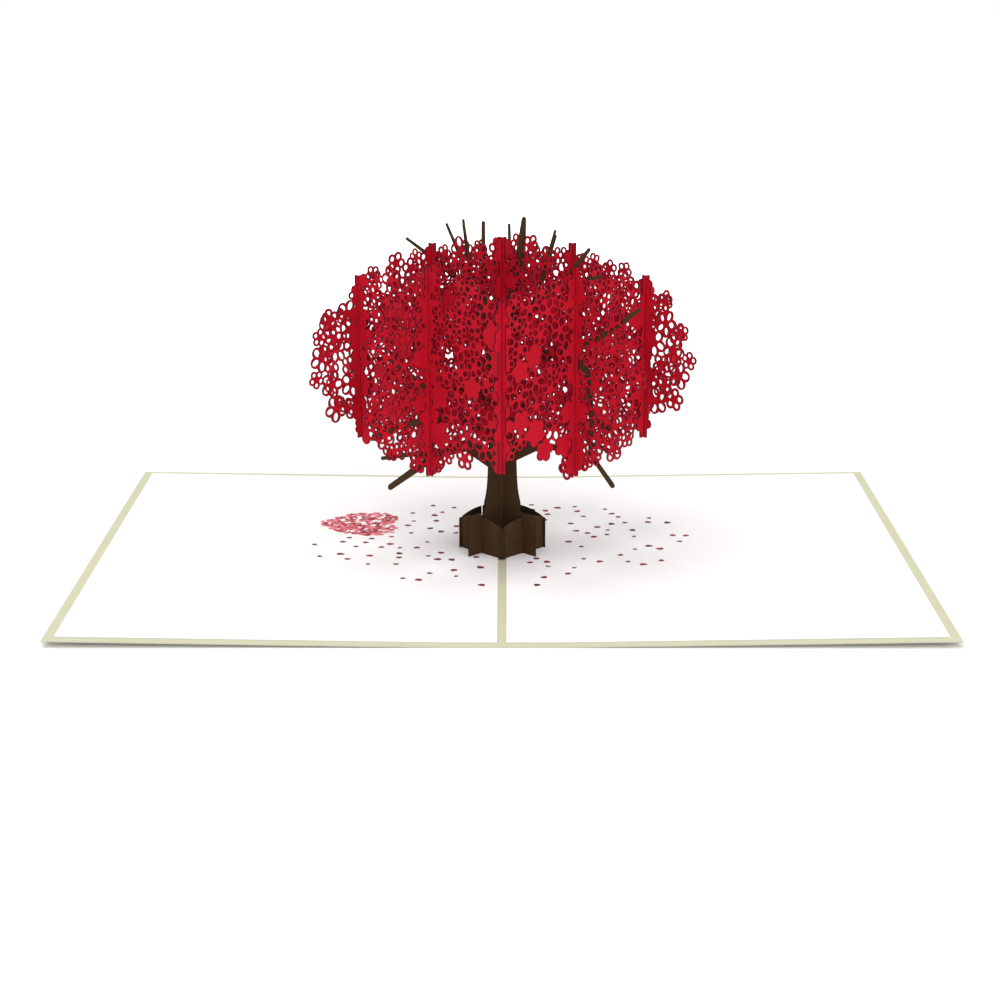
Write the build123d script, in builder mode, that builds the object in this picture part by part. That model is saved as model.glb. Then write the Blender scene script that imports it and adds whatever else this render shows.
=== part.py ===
"""Pop-up card, open flat: a slotted paper blossom tree stands over the fold of a two-leaf card.

Frame: millimetres, +Z up.  The origin is under the middle of the open card, +X runs across the two
leaves and +Y along the fold.  The tree is a sliceform: upright sheets in two families, each at 45
degrees to the fold, slot into one another where they cross.  Sheets of family "a" are slotted from
below and those of family "b" from above.  On a sheet, t is the distance along it from the point
nearest to the tree's axis, and the second coordinate is the height above the table.
"""
import math
import os
from build123d import *

os.makedirs("parts", exist_ok=True)

# ---- the card ---------------------------------------------------------------------------------
card_width = 254.0  # open, across both leaves
card_depth = 178.0  # along the fold
cover_sheet = 0.35  # thickness of the folded outer card
flat_half = 16.0  # half-width of the strip beside the fold that lies flat
leaf_lift = 1.7  # how far the outer edge of each leaf springs up off the table
crease_width = 0.7  # scored line on the inside of the fold
crease_depth = 0.12
panel_sheet = 0.3  # thickness of the glued-in inner panels
panel_margin = 3.0  # cover left bare round each panel
spine_gap = 2.6  # bare strip between the two panels

# ---- the paper of the tree --------------------------------------------------------------------
brown_sheet = 0.3
red_sheet = 0.3
slot_play = 0.2  # clearance on each side of a sheet in its slot
tree_back = 3.5  # the tree's axis stands this far behind the middle of the fold

# ---- the base box: four short walls that slot together at their ends ---------------------------
wall_offset = 9.1  # from the tree's axis to each wall
wall_overhang = 0.9  # wall past the corner where it crosses the next one
wall_middle_height = 12.4
wall_corner_height = 10.5
corner_slot_height = 4.6  # closed end of the slots at the corners
tongue_width = 5.0  # tongue that goes down through a slit in the panel
tongue_from_corner = 1.6
slit_play = 0.15

# ---- the trunk and its root plate --------------------------------------------------------------
root_reach = 14.8  # root fins reach this far from the axis
root_front_height = 13.8
root_back_height = 9.0
root_shoulder = 1.2  # rounding of each fin's upper corner
root_slot_height = 6.4  # closed end of the slots where the trunk crosses the walls
trunk_foot = 8.4  # half-width where the trunk rises from the root plate
trunk_outline = ((8.0, 14.0), (7.5, 15.6), (6.5, 22.0), (5.3, 36.0))  # half-width, height

# ---- the crown --------------------------------------------------------------------------------
sheet_pitch = 31.1  # between neighbouring sheets of one family
slot_end = 62.0  # height where the two half slots of every crossing meet
crown_centre = 62.0
crown_radius = 61.0  # in plan
crown_half_height = 38.5
end_overhang = 3.4  # a front or back sheet stops this far past its last crossing
clear_half = 20.0  # beside the trunk the crown keeps above clear_height
clear_height = 34.5
strip_half = 1.5  # each slot runs in a solid strip of this half-width
strip_short = 1.2  # each solid strip stops this far inside the crown's edge

# ---- the blossoms -----------------------------------------------------------------------------
blossom_radii = (4.4, 3.0, 3.7)
blossom_lap = 0.85  # how far neighbouring blossoms lap over each other
petals = 5
petal_share = 0.42  # radius of a petal, as a share of the blossom's
petal_reach = 0.58  # distance of a petal's centre, as a share of the blossom's radius
heart_share = 0.62  # radius of the solid heart
hole_share = 0.5  # radius of a petal's hole, as a share of the petal's
long_hole = 1.4  # a large blossom's holes are this many times as long as wide
hole_to_strip = 0.35  # paper left between a hole and a solid strip
stem_width = 1.3
stem_length = 2.6
gap_spacing = 15.0  # least distance between two places left open
open_every = 4  # one place in this many may be left open
plain_every = 5  # one blossom in this many has no holes
plain_within = 0.7  # and only inside this share of the crown's outline

sheet_normals = {"a": (1, 1, 0), "b": (1, -1, 0)}
sheet_lines = {"a": (-1, 1, 0), "b": (1, 1, 0)}
row_signs = {"a": 1, "b": -1}
panel_top = cover_sheet + panel_sheet
tall = 2 * (crown_centre + crown_half_height)  # longer than any slot


def sheet_plane(family, offset, depth=0.0):
    """Upright plane of a sheet: offset from the tree's axis, and depth along the sheet's normal."""
    step = (row_signs[family] * offset + depth) / math.sqrt(2)
    normal = sheet_normals[family]
    origin = (step * normal[0], tree_back + step * normal[1], 0)
    return Plane(origin=origin, x_dir=sheet_lines[family], z_dir=normal)


def lift_at(x):
    """Height of the cover's underside at x: level beside the fold, then rising to the outer edge."""
    return leaf_lift * max(0.0, abs(x) - flat_half) / (card_width / 2 - flat_half)


# =============================================================================================
# The card: one folded cover, and a panel glued to the inside of each leaf
# =============================================================================================
half_card = card_width / 2
with BuildPart() as cover:
    with BuildSketch(Plane.XZ):
        with BuildLine():
            Polyline(
                (-half_card, leaf_lift),
                (-flat_half, 0),
                (flat_half, 0),
                (half_card, leaf_lift),
                (half_card, leaf_lift + cover_sheet),
                (flat_half, cover_sheet),
                (crease_width / 2, cover_sheet),
                (0, cover_sheet - crease_depth),
                (-crease_width / 2, cover_sheet),
                (-flat_half, cover_sheet),
                (-half_card, leaf_lift + cover_sheet),
                close=True,
            )
        make_face()
    extrude(amount=card_depth / 2, both=True)
cover.part.label = "cover"
export_step(cover.part, "parts/cover.step")


def tongue_middle(row):
    """Place along a base wall of the middle of its tongue, near the corner that lies on a leaf."""
    return -row * (wall_offset - tongue_from_corner - tongue_width / 2)


def inner_panel(side):
    """Panel on one leaf: it follows the leaf's bend and is slit for the tongues of two base walls."""
    inner = spine_gap / 2
    outer = half_card - panel_margin
    with BuildPart() as panel:
        with BuildSketch(Plane.XZ):
            with BuildLine():
                Polyline(
                    (side * inner, cover_sheet),
                    (side * flat_half, cover_sheet),
                    (side * outer, lift_at(outer) + cover_sheet),
                    (side * outer, lift_at(outer) + panel_top),
                    (side * flat_half, panel_top),
                    (side * inner, panel_top),
                    close=True,
                )
            make_face()
        extrude(amount=card_depth / 2 - panel_margin, both=True)
        for family in ("a", "b"):
            row = side * row_signs[family]
            with BuildSketch(sheet_plane(family, row * wall_offset)):
                with Locations((tongue_middle(row), cover_sheet + panel_sheet / 2)):
                    Rectangle(tongue_width + 2 * slit_play, 2 * panel_sheet)
            extrude(amount=brown_sheet / 2 + slit_play, both=True, mode=Mode.SUBTRACT)
    return panel.part


left_panel = inner_panel(-1)
left_panel.label = "left_panel"
export_step(left_panel, "parts/left_panel.step")

right_panel = inner_panel(1)
right_panel.label = "right_panel"
export_step(right_panel, "parts/right_panel.step")


def half_slot(family, crossing, closed_end, behind=0.0):
    """Cut a slot into the sketch in hand: up from below on family "a", down from above on "b".

    crossing is the slot's place along the sheet, and behind is the thickness of paper that the
    crossing sheet carries on its far side, where t is smaller.
    """
    left = crossing - brown_sheet / 2 - behind - slot_play
    right = crossing + brown_sheet / 2 + slot_play
    reach = -tall if family == "a" else tall
    with Locations(((left + right) / 2, closed_end + reach / 2)):
        Rectangle(right - left, abs(reach), mode=Mode.SUBTRACT)


# =============================================================================================
# The base box round the trunk's foot
# =============================================================================================
def base_wall(family, row):
    """Short domed wall, slotted at both corners and at its middle, with one tongue underneath."""
    reach = wall_offset + wall_overhang
    fall = (wall_middle_height - wall_corner_height) * (reach / wall_offset) ** 2
    end_height = wall_middle_height - fall
    with BuildPart() as wall:
        with BuildSketch(sheet_plane(family, row * wall_offset, -brown_sheet / 2)):
            with BuildLine():
                Polyline((-reach, end_height), (-reach, panel_top), (reach, panel_top), (reach, end_height))
                ThreePointArc((reach, end_height), (0, wall_middle_height), (-reach, end_height))
            make_face()
            for corner in (-wall_offset, wall_offset):
                half_slot(family, corner, corner_slot_height)
            half_slot(family, 0, root_slot_height)
            with Locations((tongue_middle(row), cover_sheet + panel_sheet / 2)):
                Rectangle(tongue_width, panel_sheet)
        extrude(amount=brown_sheet)
    return wall.part


wall_places = {
    "base_wall_front_left": ("a", -1),
    "base_wall_back_right": ("a", 1),
    "base_wall_front_right": ("b", -1),
    "base_wall_back_left": ("b", 1),
}
for wall_name, (wall_family, wall_row) in wall_places.items():
    base_wall_part = base_wall(wall_family, wall_row)
    base_wall_part.label = wall_name
    export_step(base_wall_part, f"parts/{wall_name}.step")


# =============================================================================================
# The two brown sheets: root plate, trunk and limbs in one piece
# =============================================================================================
# Each limb is a row of stations: place along the sheet, height, and half the limb's thickness.
limbs_of_a = (
    ((0, 34, 4.8), (-0.6, 52, 3.9), (-2, 68, 2.7), (-6, 88, 1.6), (-9.2, 105.2, 0.88)),
    ((-1, 50, 2.6), (-13, 63.5, 1.8), (-26, 68, 1.5), (-36, 63, 0.96), (-38, 50, 0.8), (-37.4, 38, 0.8)),
    ((-37.4, 38, 0.8), (-46.5, 30, 0.88)),
    ((-38, 41, 0.72), (-45.5, 40.4, 0.64)),
    ((-38, 49, 0.72), (-45, 46.6, 0.64)),
    ((-3, 31, 2.4), (-16, 37, 1.5), (-28, 37.5, 0.64)),
    ((-26, 68, 0.96), (-41, 74, 0.8), (-56, 84.4, 0.56)),
    ((-2, 67, 2), (-14, 80, 1.4), (-26, 89, 0.88), (-36, 99.5, 0.56)),
    ((-14, 80, 0.8), (-22.3, 102, 0.56)),
    ((-26, 89, 0.72), (-41, 92, 0.48)),
    ((1, 51, 2.4), (16, 66, 1.7), (34, 72, 0.96), (53, 69, 0.56)),
    ((34, 72, 0.8), (38, 58, 0.64), (47, 49, 0.48)),
    ((2, 33, 2.2), (16, 40, 1.4), (28, 39, 0.64)),
    ((0, 66, 2.2), (12, 80, 1.5), (28, 88, 0.8), (43, 94, 0.48)),
    ((12, 80, 0.88), (19, 92, 0.72), (24.5, 100.5, 0.48)),
    ((12, 80, 0.8), (15.4, 92, 0.64), (17, 102.5, 0.48)),
)
limbs_of_b = (
    ((0, 34, 4.8), (0, 50, 3.9), (0, 58, 3.2)),
    ((-1, 53, 2.6), (-6, 66, 1.9), (-8, 84, 1.04), (-8, 104.4, 0.64)),
    ((-6, 66, 1.5), (-12, 84, 0.8), (-16.2, 104.6, 0.48)),
    ((-6, 66, 1.4), (-17, 78, 0.88), (-28, 85, 0.56)),
    ((-3, 29, 2.8), (-15, 36.6, 2), (-27, 36.4, 1.5), (-47, 29.6, 0.96)),
    ((-27, 36.4, 0.96), (-38, 38, 0.72), (-50, 39, 0.56)),
    ((-2, 40, 2.4), (-18, 45.6, 1.6), (-36, 47.6, 0.88), (-52, 46.6, 0.56)),
    ((-1, 49, 2.2), (-18, 55, 1.5), (-33, 58.2, 0.88), (-42, 65, 0.72), (-54, 74, 0.48)),
    ((1, 53, 2.6), (6, 66, 2), (8.6, 84, 1.5), (9.4, 103.6, 0.88)),
    ((6, 66, 0.96), (3.8, 84, 0.72), (3.0, 102.6, 0.48)),
    ((6, 66, 1.5), (16, 80, 0.96), (23.3, 98.5, 0.48)),
    ((3, 30, 2.6), (16, 37, 1.7), (36, 36, 0.88), (50, 31, 0.56)),
    ((2, 43, 2.2), (20, 53, 1.5), (37, 56, 0.88), (46, 67, 0.72), (58, 66, 0.48)),
)


joint_share = 0.96  # a length of limb starts this much slimmer, so its round end lies in the last


def limb_piece(start, end):
    """One tapered length of limb with round ends: the hull of a disc at each of its stations."""
    with BuildSketch() as piece:
        for (t, height, half_thickness), share in ((start, joint_share), (end, 1)):
            with Locations((t, height)):
                Circle(share * half_thickness)
        make_hull()
    return piece.sketch


def trunk_sheet(family, limbs):
    """Root plate, trunk and limbs cut from one brown sheet, with the slots for all that crosses it."""
    pieces = [limb_piece(*pair) for limb in limbs for pair in zip(limb, limb[1:])]
    trunk_top = trunk_outline[-1]
    with BuildPart() as trunk:
        with BuildSketch(sheet_plane(family, 0, -brown_sheet / 2)):
            with BuildLine():
                for side, fin_height in ((-1, root_front_height), (1, root_back_height)):
                    Polyline(
                        (0, panel_top),
                        (side * root_reach, panel_top),
                        (side * root_reach, fin_height - root_shoulder),
                        (side * (root_reach - root_shoulder), fin_height),
                        (side * trunk_foot, fin_height),
                        (side * trunk_outline[0][0], trunk_outline[0][1]),
                    )
                    Spline(*((side * half_width, height) for half_width, height in trunk_outline))
                Line((-trunk_top[0], trunk_top[1]), trunk_top)
            make_face()
            add(pieces)
            for crossing in (-sheet_pitch, 0, sheet_pitch):
                half_slot(family, crossing, slot_end, red_sheet if crossing == 0 else 0)
            for wall in (-wall_offset, wall_offset):
                left = wall - brown_sheet / 2 - slot_play
                right = wall + brown_sheet / 2 + slot_play
                low = 0 if family == "a" else root_slot_height
                high = root_slot_height if family == "a" else root_front_height + root_shoulder
                with Locations(((left + right) / 2, (low + high) / 2)):
                    Rectangle(right - left, high - low, mode=Mode.SUBTRACT)
        extrude(amount=brown_sheet)
    return trunk.part


trunk_a = trunk_sheet("a", limbs_of_a)
trunk_a.label = "trunk_a"
export_step(trunk_a, "parts/trunk_a.step")

trunk_b = trunk_sheet("b", limbs_of_b)
trunk_b.label = "trunk_b"
export_step(trunk_b, "parts/trunk_b.step")


# =============================================================================================
# The six red blossom sheets
# =============================================================================================
def blossom(radius):
    """Outline of a blossom: a solid heart with five round petals."""
    with BuildSketch() as flower:
        Circle(heart_share * radius)
        with PolarLocations(petal_reach * radius, petals):
            Circle(petal_share * radius)
    return flower.sketch


def petal_hole(radius):
    """The hole in the petal that points along +X: long on a large blossom, round on the others."""
    half_width = hole_share * petal_share * radius
    stretch = long_hole if radius == max(blossom_radii) else 1.0
    with BuildSketch() as hole:
        with Locations((petal_reach * radius, 0)):
            if stretch > 1:
                Ellipse(stretch * half_width, half_width)
            else:
                Circle(half_width)
    return hole.sketch.faces()[0].outer_wire()


def petal_holes(place, radius):
    """The holes of a blossom at this place, apart from those that would come near a solid strip."""
    clear = hole_share * petal_share * radius + hole_to_strip
    kept = []
    for number in range(petals):
        spot = place * Location((0, 0, 0), (0, 0, 360 / petals * number))
        middle = spot * Location((petal_reach * radius, 0, 0))
        if not in_strip(middle.position.X, clear):
            kept.append(hole_of[radius].moved(spot))
    return kept


blossoms = {radius: blossom(radius) for radius in blossom_radii}
hole_of = {radius: petal_hole(radius) for radius in blossom_radii}


def crown_section(row):
    """Half-length and half-height of the crown's outline on the sheet of this row."""
    share = math.sqrt(1 - (row * sheet_pitch / crown_radius) ** 2)
    return crown_radius * share, crown_half_height * share


def low_edge(row, t):
    """Height of the crown's lower edge on a sheet, which stays clear of the trunk beside the fold."""
    half_length, half_height = crown_section(row)
    drop = half_height * math.sqrt(max(0.0, 1 - (t / half_length) ** 2))
    across = abs(row * sheet_pitch - t) / math.sqrt(2)
    lowest = crown_centre - drop
    return max(lowest, clear_height) if across < clear_half else lowest


def fits_crown(row, t, height, radius):
    """Whether a blossom lies inside the crown's outline and before the end of a cut-off sheet."""
    half_length, half_height = crown_section(row)
    share = (t / (half_length - radius)) ** 2 + ((height - crown_centre) / (half_height - radius)) ** 2
    past_end = row != 0 and row * t + radius > sheet_pitch + end_overhang + blossom_lap
    return share <= 1 and not past_end and height - radius >= low_edge(row, t)


def blossom_places(row, turn):
    """Pack blossoms over a sheet, each lapping two that lie already, the one nearest the middle first.

    A candidate place lies at the lapping distance from two blossoms, so it is one of the two points
    where circles of those distances cross.  turn is the direction of the second blossom.
    """
    placed = []
    candidates = {radius: [] for radius in blossom_radii}

    def apart(t, height, radius, other):
        gap = math.hypot(t - other[0], height - other[1])
        return gap >= radius + other[2] - blossom_lap - 1e-6

    def lay(new):
        for radius in blossom_radii:
            kept = [place for place in candidates[radius] if apart(*place, radius, new)]
            for old in placed:
                span = math.hypot(new[0] - old[0], new[1] - old[1])
                from_new = new[2] + radius - blossom_lap
                from_old = old[2] + radius - blossom_lap
                along = (span**2 + from_new**2 - from_old**2) / (2 * span)
                if span >= from_new + from_old or abs(along) > from_new:
                    continue
                aside = math.sqrt(from_new**2 - along**2)
                step_t = (old[0] - new[0]) / span
                step_h = (old[1] - new[1]) / span
                for side in (aside, -aside):
                    t = new[0] + along * step_t - side * step_h
                    height = new[1] + along * step_h + side * step_t
                    free = all(apart(t, height, radius, other) for other in placed)
                    if free and fits_crown(row, t, height, radius):
                        kept.append((t, height))
            candidates[radius] = kept
        placed.append(new)

    first, second = blossom_radii[:2]
    reach = first + second - blossom_lap
    lay((0, crown_centre, first))
    lay((reach * math.cos(turn), crown_centre + reach * math.sin(turn), second))
    half_length, half_height = crown_section(row)
    number = len(placed)
    while any(candidates.values()):
        radius = blossom_radii[number % len(blossom_radii)]
        number += 1
        if candidates[radius]:
            nearest = min(
                candidates[radius],
                key=lambda place: (place[0] / half_length) ** 2
                + ((place[1] - crown_centre) / half_height) ** 2,
            )
            lay((*nearest, radius))
    return placed


def in_strip(t, reach):
    """Whether something of this reach, at this place along a sheet, comes onto a solid strip."""
    return any(abs(t - crossing) < strip_half + reach for crossing in (-sheet_pitch, 0, sheet_pitch))


def near_outline(row, t, height):
    """Whether a blossom lies in the outer part of the crown, where none is left without holes."""
    half_length, half_height = crown_section(row)
    return math.hypot(t / half_length, (height - crown_centre) / half_height) > plain_within


def blossom_lattice(family, row, turn):
    """Blossoms, the stems that join them and a solid strip round each slot, as one flat sheet.

    The slots are cut where the sheets of the other family cross, and any offcut is dropped.
    """
    kept = []
    gaps = []
    stems = []
    for number, (t, height, radius) in enumerate(blossom_places(row, turn)):
        near_gap = any(math.hypot(t - gap[0], height - gap[1]) < gap_spacing for gap in gaps)
        if number % open_every == 2 and not near_gap and not in_strip(t, radius / 2):
            gaps.append((t, height))
            continue
        for other_t, other_height, other_radius in kept:
            span = math.hypot(t - other_t, height - other_height)
            if span < radius + other_radius - blossom_lap / 2:
                share = radius / (radius + other_radius)
                middle = (t + share * (other_t - t), height + share * (other_height - height))
                angle = math.degrees(math.atan2(other_height - height, other_t - t))
                stems.append(Location((*middle, 0), (0, 0, angle)))
                break
        kept.append((t, height, radius))

    spin = 360 / petals * (math.sqrt(5) - 1) / 2
    edge = sheet_pitch + end_overhang
    with BuildSketch() as lattice:
        for size in blossom_radii:
            spots = [
                Location((t, height, 0), (0, 0, spin * number))
                for number, (t, height, radius) in enumerate(kept)
                if radius == size
            ]
            with Locations(*spots):
                add(blossoms[size])
        with Locations(*stems):
            Rectangle(stem_length, stem_width)
        half_length, half_height = crown_section(row)
        for crossing in (-sheet_pitch, 0, sheet_pitch):
            left = crossing - strip_half
            right = crossing + strip_half
            if row != 0:
                left = max(left, -edge) if row < 0 else left
                right = min(right, edge) if row > 0 else right
            rise = half_height * math.sqrt(1 - (crossing / half_length) ** 2) - strip_short
            low = max(low_edge(row, crossing) + strip_short, crown_centre - rise)
            with Locations(((left + right) / 2, (low + crown_centre + rise) / 2)):
                Rectangle(right - left, crown_centre + rise - low)
        for crossing in (-sheet_pitch, 0, sheet_pitch):
            half_slot(family, crossing, slot_end, red_sheet if crossing == 0 else 0)
    paper = lattice.sketch.faces().sort_by(SortBy.AREA)[-1]
    holes = [
        hole
        for number, (t, height, radius) in enumerate(kept)
        if number % plain_every or near_outline(row, t, height)
        for hole in petal_holes(Location((t, height, 0), (0, 0, spin * number)), radius)
    ]
    return Face(paper.outer_wire(), [*paper.inner_wires(), *holes])


def blossom_sheet(family, row, turn):
    """Red sheet: a slotted lattice of blossoms.

    The middle sheet of each family is glued to the front of the brown one.
    """
    front = -1 if family == "a" else 1
    back = (front * (brown_sheet + red_sheet) if row == 0 else 0.0) / 2 - red_sheet / 2
    lattice = blossom_lattice(family, row, turn)
    with BuildPart() as sheet:
        with BuildSketch(sheet_plane(family, row * sheet_pitch, back)):
            add(lattice)
        extrude(amount=red_sheet)
    return sheet.part


# Name of each sheet: its family, its row and the direction in which its packing starts.
sheet_places = {
    "blossoms_a_front": ("a", -1, 0.4),
    "blossoms_a_middle": ("a", 0, 1.3),
    "blossoms_a_back": ("a", 1, 2.2),
    "blossoms_b_front": ("b", -1, 3.1),
    "blossoms_b_middle": ("b", 0, 4.0),
    "blossoms_b_back": ("b", 1, 4.9),
}
for sheet_name, (sheet_family, sheet_row, sheet_turn) in sheet_places.items():
    blossom_part = blossom_sheet(sheet_family, sheet_row, sheet_turn)
    blossom_part.label = sheet_name
    export_step(blossom_part, f"parts/{sheet_name}.step")
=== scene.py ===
"""Looks of the pop-up card: paper finishes, the fallen petals printed on its panels, and the studio.

Metres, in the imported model's frame: +X across the two leaves, +Y along the fold, +Z up.
"""
import logging
import math
from dataclasses import dataclass, field
from enum import Enum

import bpy
import numpy as np
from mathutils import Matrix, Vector

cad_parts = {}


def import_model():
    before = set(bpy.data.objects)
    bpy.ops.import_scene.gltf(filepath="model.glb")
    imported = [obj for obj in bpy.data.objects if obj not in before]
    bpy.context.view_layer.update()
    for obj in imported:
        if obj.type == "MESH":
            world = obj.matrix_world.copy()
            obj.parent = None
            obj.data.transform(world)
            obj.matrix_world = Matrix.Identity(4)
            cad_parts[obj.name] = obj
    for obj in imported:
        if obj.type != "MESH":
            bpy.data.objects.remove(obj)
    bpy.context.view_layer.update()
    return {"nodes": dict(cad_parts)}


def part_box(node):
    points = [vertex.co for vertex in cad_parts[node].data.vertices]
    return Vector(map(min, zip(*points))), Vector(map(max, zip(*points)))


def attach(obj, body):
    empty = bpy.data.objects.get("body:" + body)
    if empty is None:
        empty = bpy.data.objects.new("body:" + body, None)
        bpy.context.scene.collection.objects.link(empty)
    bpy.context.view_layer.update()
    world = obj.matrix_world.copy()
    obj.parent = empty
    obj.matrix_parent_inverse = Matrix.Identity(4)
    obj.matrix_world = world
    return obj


LOG = logging.getLogger("pop_up_card")
MM = 0.001
HALF_RIGHT_ANGLE = math.sqrt(0.5)


class SheetFacing(Enum):
    """Which way a flat sheet of the card faces: its unit normal."""

    LEVEL = (0.0, 0.0, 1.0)
    FAMILY_A = (HALF_RIGHT_ANGLE, HALF_RIGHT_ANGLE, 0.0)
    FAMILY_B = (HALF_RIGHT_ANGLE, -HALF_RIGHT_ANGLE, 0.0)


def linear(red: int, green: int, blue: int) -> tuple[float, float, float, float]:
    """Turn a display colour of 0 to 255 into the linear colour that a shader socket takes.

    Args:
        red: Display red.
        green: Display green.
        blue: Display blue.

    Returns:
        Linear red, green and blue, and an alpha of one.
    """
    shares = [channel / 255 for channel in (red, green, blue)]
    values = [s / 12.92 if s <= 0.04045 else ((s + 0.055) / 1.055) ** 2.4 for s in shares]
    return (values[0], values[1], values[2], 1.0)


# ------------------------------------------------------------------------------------------
# Finishes
# ------------------------------------------------------------------------------------------
@dataclass
class NodeBench:
    """Short calls for laying shader nodes in one material or world."""

    material: bpy.types.Material | bpy.types.World

    def add(self, kind: str, **settings: object) -> bpy.types.Node:
        """Add a node.

        Args:
            kind: Blender's type name of the node.
            **settings: Attributes of the node to set.

        Returns:
            The new node.
        """
        node = self.material.node_tree.nodes.new(kind)
        for name, value in settings.items():
            setattr(node, name, value)
        return node

    def join(self, source: bpy.types.NodeSocket, target: bpy.types.NodeSocket) -> None:
        """Link one socket to another."""
        self.material.node_tree.links.new(source, target)

    def noise(self, scale: float, detail: float, place: bpy.types.NodeSocket) -> bpy.types.NodeSocket:
        """Add a noise pattern on object coordinates.

        Args:
            scale: Patterns per metre.
            detail: Octaves of finer noise.
            place: Coordinates to read.

        Returns:
            The pattern's value socket, 0 to 1.
        """
        node = self.add("ShaderNodeTexNoise")
        node.inputs["Scale"].default_value = scale
        node.inputs["Detail"].default_value = detail
        self.join(place, node.inputs["Vector"])
        return node.outputs["Fac"]

    def spread(
        self,
        value: bpy.types.NodeSocket,
        low: float,
        high: float,
        to_low: float = 0.0,
        to_high: float = 1.0,
    ) -> bpy.types.NodeSocket:
        """Stretch a value from one range to another, and clamp it there.

        Args:
            value: Socket to read.
            low: Value that becomes to_low.
            high: Value that becomes to_high.
            to_low: Result at low.
            to_high: Result at high.

        Returns:
            The stretched value.
        """
        node = self.add("ShaderNodeMapRange", clamp=True)
        self.join(value, node.inputs["Value"])
        for name, number in (("From Min", low), ("From Max", high), ("To Min", to_low), ("To Max", to_high)):
            node.inputs[name].default_value = number
        return node.outputs["Result"]

    def blend(
        self,
        share: bpy.types.NodeSocket,
        first: tuple[float, float, float, float] | bpy.types.NodeSocket,
        second: tuple[float, float, float, float],
    ) -> bpy.types.NodeSocket:
        """Mix two colours.

        Args:
            share: How much of the second colour shows.
            first: Colour, or socket, at share 0.
            second: Colour at share 1.

        Returns:
            The mixed colour.
        """
        node = self.add("ShaderNodeMix", data_type="RGBA")
        self.join(share, node.inputs["Factor"])
        if isinstance(first, bpy.types.NodeSocket):
            self.join(first, node.inputs[6])
        else:
            node.inputs[6].default_value = first
        node.inputs[7].default_value = second
        return node.outputs[2]

    def maths(
        self, operation: str, first: bpy.types.NodeSocket, second: bpy.types.NodeSocket | float
    ) -> bpy.types.NodeSocket:
        """Combine two values.

        Args:
            operation: Blender's name of the operation.
            first: First value.
            second: Second value, a socket or a number.

        Returns:
            The result.
        """
        node = self.add("ShaderNodeMath", operation=operation)
        self.join(first, node.inputs[0])
        if isinstance(second, bpy.types.NodeSocket):
            self.join(second, node.inputs[1])
        else:
            node.inputs[1].default_value = second
        return node.outputs[0]


@dataclass(frozen=True)
class CardStock:
    """Uncoated card: mottled colour, fine fibres, and a cut edge of its own colour, which on the white panels is
    painted shade of the edge.
    """

    name: str
    colour: tuple[int, int, int]
    mottle_colour: tuple[int, int, int]
    edge_colour_and_shade: tuple[int, int, int]
    facing: SheetFacing = SheetFacing.LEVEL
    roughness: float = 0.72
    fibre_scale: float = 2600.0
    mottle_scale: float = 95.0
    bump_strength: float = 0.16
    sheen: float = 0.12
    scorch_width: float = 0.0
    scorch_strength: float = 0.0

    def material(self) -> bpy.types.Material:
        """Build the finish.

        The cut edge is where the surface's normal is nearly square to the sheet's own normal.  With
        a scorch width, the flat faces also darken towards each cut.

        Returns:
            The material.
        """
        made = bpy.data.materials.new(self.name)
        made.use_nodes = True
        bench = NodeBench(made)
        shader = made.node_tree.nodes["Principled BSDF"]
        place = bench.add("ShaderNodeTexCoord").outputs["Object"]

        fibres = bench.noise(self.fibre_scale, 3.0, place)
        mottle = bench.noise(self.mottle_scale, 4.0, place)
        tone = bench.spread(bench.maths("ADD", fibres, mottle), 0.75, 1.3)
        flat = bench.blend(tone, linear(*self.colour), linear(*self.mottle_colour))

        across = bench.add("ShaderNodeVectorMath", operation="DOT_PRODUCT")
        bench.join(bench.add("ShaderNodeNewGeometry").outputs["Normal"], across.inputs[0])
        across.inputs[1].default_value = self.facing.value
        square = bench.maths("ABSOLUTE", across.outputs["Value"], 0.0)
        edge = bench.spread(square, 0.75, 0.55)
        if self.scorch_width > 0:
            near = bench.add("ShaderNodeAmbientOcclusion", samples=4, inside=True, only_local=True)
            near.inputs["Distance"].default_value = self.scorch_width
            burn = bench.spread(near.outputs["AO"], 0.98, 0.62, 0.0, self.scorch_strength)
            edge = bench.maths("MAXIMUM", edge, burn)
        # On the white panels the grey edge colour is painted shade on their cut edges.
        coloured = bench.blend(edge, flat, linear(*self.edge_colour_and_shade))
        bench.join(coloured, shader.inputs["Base Color"])

        bench.join(
            bench.spread(fibres, 0.3, 0.7, self.roughness - 0.06, self.roughness + 0.06),
            shader.inputs["Roughness"],
        )
        shader.inputs["Specular IOR Level"].default_value = self.sheen
        bump = bench.add("ShaderNodeBump")
        bump.inputs["Strength"].default_value = self.bump_strength
        bump.inputs["Distance"].default_value = 0.05 * MM
        bench.join(fibres, bump.inputs["Height"])
        bench.join(bump.outputs["Normal"], shader.inputs["Normal"])
        return made


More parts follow.
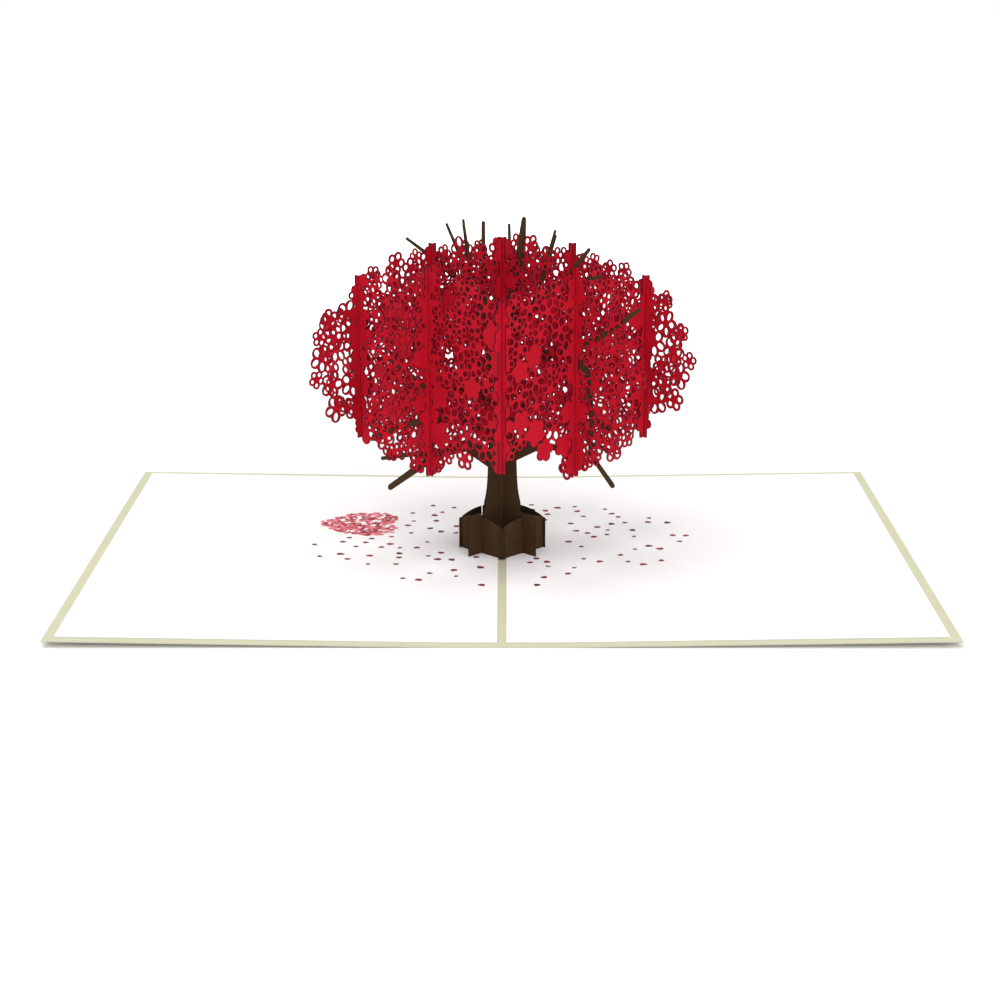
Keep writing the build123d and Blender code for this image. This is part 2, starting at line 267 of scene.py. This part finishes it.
@dataclass(frozen=True)
class PrintedInk:
    """Ink soaked into card: each field has its own tone, from the piece's tone attribute."""

    name: str
    dark_colour: tuple[int, int, int]
    light_colour: tuple[int, int, int]
    roughness: float = 0.6

    def material(self) -> bpy.types.Material:
        """Build the finish.

        Returns:
            The material.
        """
        made = bpy.data.materials.new(self.name)
        made.use_nodes = True
        bench = NodeBench(made)
        shader = made.node_tree.nodes["Principled BSDF"]
        place = bench.add("ShaderNodeTexCoord").outputs["Object"]
        tone = bench.add("ShaderNodeAttribute", attribute_name="tone").outputs["Fac"]
        grain = bench.noise(3200.0, 2.0, place)
        share = bench.maths("ADD", tone, bench.spread(grain, 0.3, 0.7, -0.12, 0.12))
        colour = bench.blend(bench.spread(share, 0.0, 1.0), linear(*self.dark_colour), linear(*self.light_colour))
        bench.join(colour, shader.inputs["Base Color"])
        bench.join(
            bench.spread(grain, 0.3, 0.7, self.roughness - 0.05, self.roughness + 0.05),
            shader.inputs["Roughness"],
        )
        shader.inputs["Specular IOR Level"].default_value = 0.3
        return made


# ------------------------------------------------------------------------------------------
# The card and its print
# ------------------------------------------------------------------------------------------
@dataclass
class Card:
    """The folded cover and the two panels glued inside it."""

    cover_stock: CardStock = CardStock("cream_card", (200, 201, 170), (206, 206, 177), (196, 196, 178))
    # The white card's grey edge colour, (212, 211, 204), is painted shade on the panels' cut edges.
    panel_stock: CardStock = CardStock("white_card", (250, 250, 249), (253, 253, 252), (212, 211, 204))

    def dress(self, nodes: dict[str, bpy.types.Object]) -> None:
        """Put the card's finishes on its nodes.

        Args:
            nodes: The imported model's nodes by name.
        """
        give_finish(nodes["cover"], self.cover_stock.material())
        white = self.panel_stock.material()
        give_finish(nodes["left_panel"], white)
        give_finish(nodes["right_panel"], white)


@dataclass
class PetalPrint:
    """Small petals printed flat on a panel, as thin fields of ink."""

    panel: str
    side: int
    ink: PrintedInk
    seed: int
    middle: tuple[float, float] = (0.0, 0.010)
    reach: tuple[float, float] = (0.063, 0.046)
    keep_off_tree: float = 0.0185
    heart_middle: tuple[float, float] = (-0.047, 0.0285)
    heart_reach: float = 0.0155
    keep_off_fold: float = 0.004
    count: int = 50
    apart: float = 4.2 * MM
    length: float = 2.3 * MM
    width: float = 1.9 * MM
    film: float = 0.03 * MM
    outline_points: int = 14

    def scatter(self) -> tuple[np.ndarray, np.ndarray, np.ndarray]:
        """Choose the petals' places.

        Places are drawn evenly over an ellipse round the tree.  Those on the base box, by the fold,
        in the printed heart, on the other leaf or too near to an earlier one are dropped.

        Returns:
            Places, turns in radians, and sizes as a share of the full size.
        """
        draw = np.random.default_rng(self.seed)
        tries = 40 * self.count
        angle = draw.uniform(0, 2 * math.pi, tries)
        out = draw.uniform(0, 1, tries) ** 0.5
        across = self.middle[0] + self.reach[0] * out * np.cos(angle)
        along = self.middle[1] + self.reach[1] * out * np.sin(angle)
        on_leaf = across * self.side > self.keep_off_fold
        off_tree = np.abs(across) + np.abs(along - tree_axis().y) > self.keep_off_tree
        off_heart = np.hypot(across - self.heart_middle[0], along - self.heart_middle[1]) > self.heart_reach
        kept = spaced(across, along, np.flatnonzero(on_leaf & off_tree & off_heart), self.apart)[: self.count]
        places = np.stack([across[kept], along[kept]], axis=1)
        return places, draw.uniform(0, 2 * math.pi, len(kept)), draw.uniform(0.7, 1.15, len(kept))

    def build(self) -> bpy.types.Object:
        """Build the print as one piece.

        Returns:
            The print's object.
        """
        places, turns, sizes = self.scatter()
        tones = np.random.default_rng(self.seed + 1).uniform(0, 1, len(places))
        return petal_field(
            f"petals_{self.panel}", self.panel, places, turns, sizes, tones, self.length, self.width,
            self.film, self.outline_points, self.ink.material(),
        )


@dataclass
class HeartPrint:
    """A heart strewn with petals, printed on the left panel with its tip towards the outer edge."""

    panel: str
    ink: PrintedInk
    seed: int = 11
    middle: tuple[float, float] = (-0.0475, 0.0275)
    reach: tuple[float, float] = (0.0131, 0.0112)
    count: int = 330
    length: float = 2.2 * MM
    width: float = 1.6 * MM
    film: float = 0.045 * MM
    outline_points: int = 12

    def scatter(self) -> tuple[np.ndarray, np.ndarray, np.ndarray]:
        """Choose the petals' places.

        With u across the heart and v towards its lobes, both -1 to 1, a point is inside the heart
        where (u squared + w squared - 1) cubed is less than u squared times w cubed, with w equal
        to 1.1 v + 0.15.

        Returns:
            Places, turns in radians, and sizes as a share of the full size.
        """
        draw = np.random.default_rng(self.seed)
        u = draw.uniform(-1.15, 1.15, 12 * self.count)
        v = draw.uniform(-1.15, 1.15, 12 * self.count)
        lift = 1.1 * v + 0.15
        inside = (u**2 + lift**2 - 1) ** 3 < u**2 * lift**3
        kept = np.flatnonzero(inside)[: self.count]
        places = np.stack(
            [self.middle[0] + self.reach[0] * v[kept], self.middle[1] + self.reach[1] * u[kept]], axis=1
        )
        return places, draw.uniform(0, 2 * math.pi, len(kept)), draw.uniform(0.7, 1.1, len(kept))

    def build(self) -> bpy.types.Object:
        """Build the print as one piece.

        Returns:
            The print's object.
        """
        places, turns, sizes = self.scatter()
        tones = np.random.default_rng(self.seed + 1).beta(0.5, 0.5, len(places))
        return petal_field(
            "petal_heart", self.panel, places, turns, sizes, tones, self.length, self.width,
            self.film, self.outline_points, self.ink.material(),
        )


def spaced(across: np.ndarray, along: np.ndarray, chosen: np.ndarray, apart: float) -> list[int]:
    """Thin out places so that no two are near each other.

    Args:
        across: Every place's distance from the fold.
        along: Every place's distance along the fold.
        chosen: Indices of the places to pick from, in order.
        apart: Least distance between two kept places.

    Returns:
        Indices of the kept places.
    """
    kept: list[int] = []
    for index in chosen:
        gaps = np.hypot(across[kept] - across[index], along[kept] - along[index])
        if not kept or gaps.min() > apart:
            kept.append(int(index))
    return kept


def tree_axis() -> Vector:
    """Find the tree's axis.

    Returns:
        The middle of the box spanned by the front-left and back-right base walls, on the ground.
    """
    low_a, high_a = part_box("base_wall_front_left")
    low_b, high_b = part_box("base_wall_back_right")
    return Vector(((low_a.x + high_b.x) / 2, (low_a.y + high_b.y) / 2, 0.0))


def panel_height(panel: str, across: np.ndarray) -> np.ndarray:
    """Height of a panel's printed face.

    The face is level near the fold and rises evenly from the spring line to its outer edge.

    Args:
        panel: The panel's node.
        across: Distances from the fold, signed.

    Returns:
        Heights at those distances.
    """
    low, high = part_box(panel)
    outer = max(abs(low.x), abs(high.x))
    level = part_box("trunk_a")[0].z
    spring_line = 16 * MM
    rise = (high.z - level) / (outer - spring_line)
    return level + rise * np.maximum(0.0, np.abs(across) - spring_line)


def petal_field(
    name: str,
    panel: str,
    places: np.ndarray,
    turns: np.ndarray,
    sizes: np.ndarray,
    tones: np.ndarray,
    length: float,
    width: float,
    film: float,
    points: int,
    finish: bpy.types.Material,
) -> bpy.types.Object:
    """Lay many petal-shaped films of ink on a panel as one closed mesh.

    A petal's outline is (length / 2 cos s, width / 2 sin s (1 + 0.35 cos s)) for s round a circle,
    turned and set at its place.  Each film has a lower and an upper outline, joined by a rim.
    Petals that come later lie a hair higher, so that laps don't flicker.

    Args:
        name: Name of the piece.
        panel: Node of the panel that carries the print.
        places: Middle of each petal.
        turns: Turn of each petal in radians.
        sizes: Size of each petal as a share of the full one.
        tones: Tone of each petal, 0 to 1.
        length: Full length of a petal.
        width: Full width of a petal.
        film: Thickness of the ink.
        points: Points in an outline.
        finish: Material of the print.

    Returns:
        The new object.
    """
    number = len(places)
    s = np.linspace(0, 2 * math.pi, points, endpoint=False)
    flat_x = 0.5 * length * np.cos(s)[None, :] * sizes[:, None]
    flat_y = 0.5 * width * (np.sin(s) * (1 + 0.35 * np.cos(s)))[None, :] * sizes[:, None]
    cosine, sine = np.cos(turns)[:, None], np.sin(turns)[:, None]
    x = places[:, :1] + flat_x * cosine - flat_y * sine
    y = places[:, 1:] + flat_x * sine + flat_y * cosine
    ground = panel_height(panel, x)
    order = (np.arange(number) / max(1, number))[:, None]
    top = ground + film * (0.5 + 0.5 * order)
    vertices = np.stack(
        [np.concatenate([x, x], axis=1), np.concatenate([y, y], axis=1), np.concatenate([ground, top], axis=1)],
        axis=2,
    ).reshape(-1, 3)
    first = 2 * points * np.arange(number)[:, None]
    ring = np.arange(points)[None, :]
    following = (ring + 1) % points
    caps = [list(row) for row in (first + points + ring)] + [list(row) for row in (first + ring[:, ::-1])]
    sides = np.stack(
        [first + ring, first + following, first + points + following, first + points + ring], axis=2
    ).reshape(-1, 4)
    mesh = bpy.data.meshes.new(name)
    mesh.from_pydata(vertices.tolist(), [], caps + sides.tolist())
    tone = mesh.attributes.new("tone", "FLOAT", "POINT")
    tone.data.foreach_set("value", np.repeat(tones, 2 * points).astype(np.float32))
    mesh.materials.append(finish)
    mesh.update()
    piece = bpy.data.objects.new(name, mesh)
    bpy.context.scene.collection.objects.link(piece)
    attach(piece, "root")
    return piece


# ------------------------------------------------------------------------------------------
# The tree
# ------------------------------------------------------------------------------------------
@dataclass
class PaperTree:
    """The slotted tree: red blossom sheets, brown trunk sheets and the base box round its foot."""

    red: dict[str, CardStock] = field(default_factory=dict)
    brown: dict[str, CardStock] = field(default_factory=dict)
    family_of_wall: tuple[tuple[str, str], ...] = (
        ("base_wall_front_left", "a"),
        ("base_wall_back_right", "a"),
        ("base_wall_front_right", "b"),
        ("base_wall_back_left", "b"),
    )

    def __post_init__(self) -> None:
        """Mix the red and brown stocks for each direction of sheet."""
        for family, facing in (("a", SheetFacing.FAMILY_A), ("b", SheetFacing.FAMILY_B)):
            self.red[family] = CardStock(
                f"crimson_card_{family}", (198, 16, 40), (176, 10, 32), (66, 8, 26), facing=facing,
                scorch_width=0.28 * MM, scorch_strength=0.9,
            )
            self.brown[family] = CardStock(
                f"brown_card_{family}", (72, 53, 32), (62, 44, 26), (34, 22, 13), facing=facing,
            )

    def dress(self, nodes: dict[str, bpy.types.Object]) -> None:
        """Put the tree's finishes on its nodes.

        Args:
            nodes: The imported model's nodes by name.
        """
        for family in ("a", "b"):
            red = self.red[family].material()
            brown = self.brown[family].material()
            for row in ("front", "middle", "back"):
                give_finish(nodes[f"blossoms_{family}_{row}"], red)
            give_finish(nodes[f"trunk_{family}"], brown)
            for wall, wall_family in self.family_of_wall:
                if wall_family == family:
                    give_finish(nodes[wall], brown)


def give_finish(piece: bpy.types.Object, finish: bpy.types.Material) -> None:
    """Put a finish in a node's material slots and report it.

    Args:
        piece: The node's object.
        finish: The material.
    """
    if not piece.material_slots:
        piece.data.materials.append(finish)
    for slot in piece.material_slots:
        slot.material = finish
    LOG.info("dressed %s in %s", piece.name, finish.name)


# ------------------------------------------------------------------------------------------
# The studio
# ------------------------------------------------------------------------------------------
@dataclass
class Studio:
    """White floor, soft light and the camera."""

    floor_half: float = 3.0
    floor_points: int = 25
    floor_colour: tuple[int, int, int] = (240, 240, 240)
    floor_glow: float = 0.06
    shadow_reach: float = 0.2
    white_reach: float = 0.5
    sky_strength: float = 0.72
    camera_place: tuple[float, float, float] = (0.00123, -0.64418, 0.20091)
    camera_pitch: float = 15.93
    camera_yaw: float = 0.161
    camera_roll: float = 0.036
    lens: float = 76.97
    sensor: float = 36.0

    def floor(self) -> None:
        """Lay the floor: a grid at height zero, white to the camera, that keeps shadows."""
        line = np.linspace(-self.floor_half, self.floor_half, self.floor_points)
        x, y = np.meshgrid(line, line)
        vertices = np.stack([x, y, np.zeros_like(x)], axis=2).reshape(-1, 3)
        corner = np.arange(self.floor_points - 1)
        start = (corner[:, None] * self.floor_points + corner[None, :]).reshape(-1)
        faces = np.stack(
            [start, start + 1, start + self.floor_points + 1, start + self.floor_points], axis=1
        )
        mesh = bpy.data.meshes.new("floor")
        mesh.from_pydata(vertices.tolist(), [], faces.tolist())
        made = bpy.data.materials.new("studio_floor")
        made.use_nodes = True
        bench = NodeBench(made)
        shader = made.node_tree.nodes["Principled BSDF"]
        shader.inputs["Base Color"].default_value = linear(*self.floor_colour)
        shader.inputs["Roughness"].default_value = 0.9
        shader.inputs["Specular IOR Level"].default_value = 0.0
        shader.inputs["Emission Color"].default_value = (1.0, 1.0, 1.0, 1.0)
        seen = bench.add("ShaderNodeLightPath").outputs["Is Camera Ray"]
        away = bench.add("ShaderNodeVectorMath", operation="LENGTH")
        bench.join(bench.add("ShaderNodeTexCoord").outputs["Object"], away.inputs[0])
        glow = bench.spread(away.outputs["Value"], self.shadow_reach, self.white_reach, self.floor_glow, 1.0)
        bench.join(bench.maths("MULTIPLY", seen, glow), shader.inputs["Emission Strength"])
        mesh.materials.append(made)
        ground = bpy.data.objects.new("floor", mesh)
        bpy.context.scene.collection.objects.link(ground)

    def lamp(
        self, name: str, place: tuple[float, float, float], size: float, power: float, aim: Vector
    ) -> None:
        """Hang a square soft box.

        Args:
            name: Name of the lamp.
            place: Where it hangs.
            size: Length of its side.
            power: Its power in watts.
            aim: Point that it faces.
        """
        light = bpy.data.lights.new(name, "AREA")
        light.size = size
        light.energy = power
        holder = bpy.data.objects.new(name, light)
        holder.location = place
        holder.rotation_euler = (aim - Vector(place)).to_track_quat("-Z", "Y").to_euler()
        bpy.context.scene.collection.objects.link(holder)

    def lights(self) -> None:
        """Light the scene: an even white sky, a broad lamp above and one fill in front."""
        world = bpy.data.worlds.new("white_sky")
        world.use_nodes = True
        bench = NodeBench(world)
        sky = world.node_tree.nodes["Background"]
        sky.inputs["Color"].default_value = (1.0, 1.0, 1.0, 1.0)
        seen = bench.add("ShaderNodeLightPath").outputs["Is Camera Ray"]
        bench.join(bench.spread(seen, 0.0, 1.0, self.sky_strength, 1.0), sky.inputs["Strength"])
        bpy.context.scene.world = world
        middle = Vector((0.0, 0.0, 0.05))
        self.lamp("soft_box_above", (-0.25, -0.15, 1.3), 1.2, 9.0, middle)
        self.lamp("soft_box_front", (0.5, -1.3, 0.8), 0.9, 7.0, middle)

    def camera(self) -> None:
        """Set the camera at the reader's place."""
        lens = bpy.data.cameras.new("camera")
        lens.lens = self.lens
        lens.sensor_width = self.sensor
        lens.clip_start = 0.01
        lens.clip_end = 20.0
        holder = bpy.data.objects.new("camera", lens)
        holder.location = self.camera_place
        holder.rotation_euler = (
            math.radians(90 - self.camera_pitch),
            math.radians(self.camera_roll),
            math.radians(self.camera_yaw),
        )
        bpy.context.scene.collection.objects.link(holder)
        bpy.context.scene.camera = holder

    def build(self) -> None:
        """Build the floor, lights and camera, and set the plain view."""
        self.floor()
        self.lights()
        self.camera()
        bpy.context.scene.view_settings.view_transform = "Standard"


def main() -> None:
    """Build everything in order."""
    logging.basicConfig(level=logging.INFO)
    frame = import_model()
    nodes = frame["nodes"]
    Studio().build()
    Card().dress(nodes)
    PaperTree().dress(nodes)
    petal_ink = PrintedInk("petal_ink", (92, 14, 28), (140, 34, 48))
    heart_ink = PrintedInk("heart_ink", (168, 18, 42), (236, 132, 144))
    prints = [
        PetalPrint("left_panel", -1, petal_ink, seed=3).build(),
        PetalPrint("right_panel", 1, petal_ink, seed=8).build(),
        HeartPrint("left_panel", heart_ink).build(),
    ]
    for piece in prints:
        LOG.info("built %s with %d faces", piece.name, len(piece.data.polygons))


if __name__ == "__main__":
    main()
